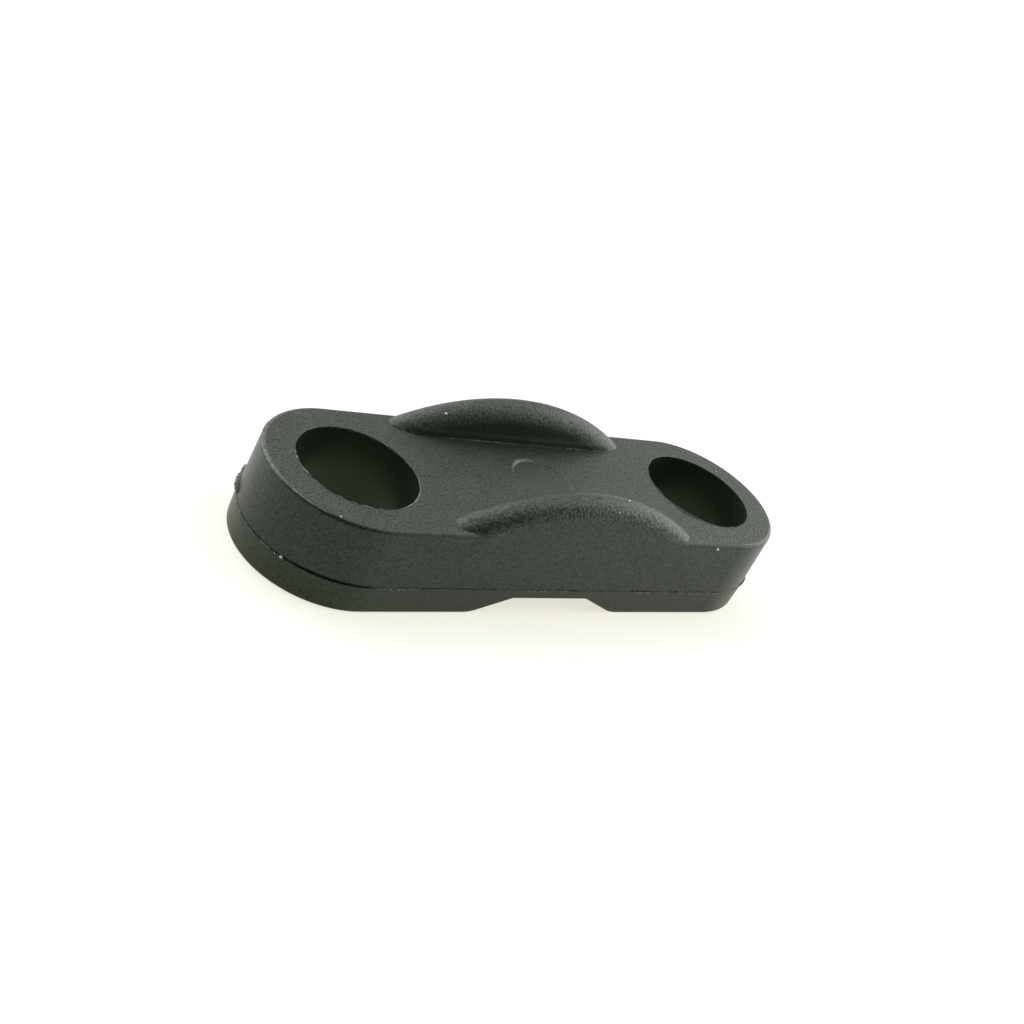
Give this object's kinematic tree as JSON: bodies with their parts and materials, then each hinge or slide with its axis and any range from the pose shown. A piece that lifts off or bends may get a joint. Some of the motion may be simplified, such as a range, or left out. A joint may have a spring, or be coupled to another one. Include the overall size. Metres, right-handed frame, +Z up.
{
  "type": "cable tie mount",
  "caption": "Oblong black nylon mount with a round screw hole at each end, arched side ribs that cradle a cable bundle and a shallow cross channel underneath for a flat cable tie.",
  "frame": {"origin": "in the mounting plane, halfway between the two screw holes", "axes": "+X along the plate from one screw hole to the other, +Y across the plate, +Z up out of the mounting plane"},
  "size_m": [0.043, 0.013, 0.0093],
  "materials": {
    "black_nylon": "black nylon with a fine spark-eroded grain, smoother in the holes"
  },
  "bodies": {
    "root": {"tie_mount": "black_nylon"}
  },
  "joints": []
}
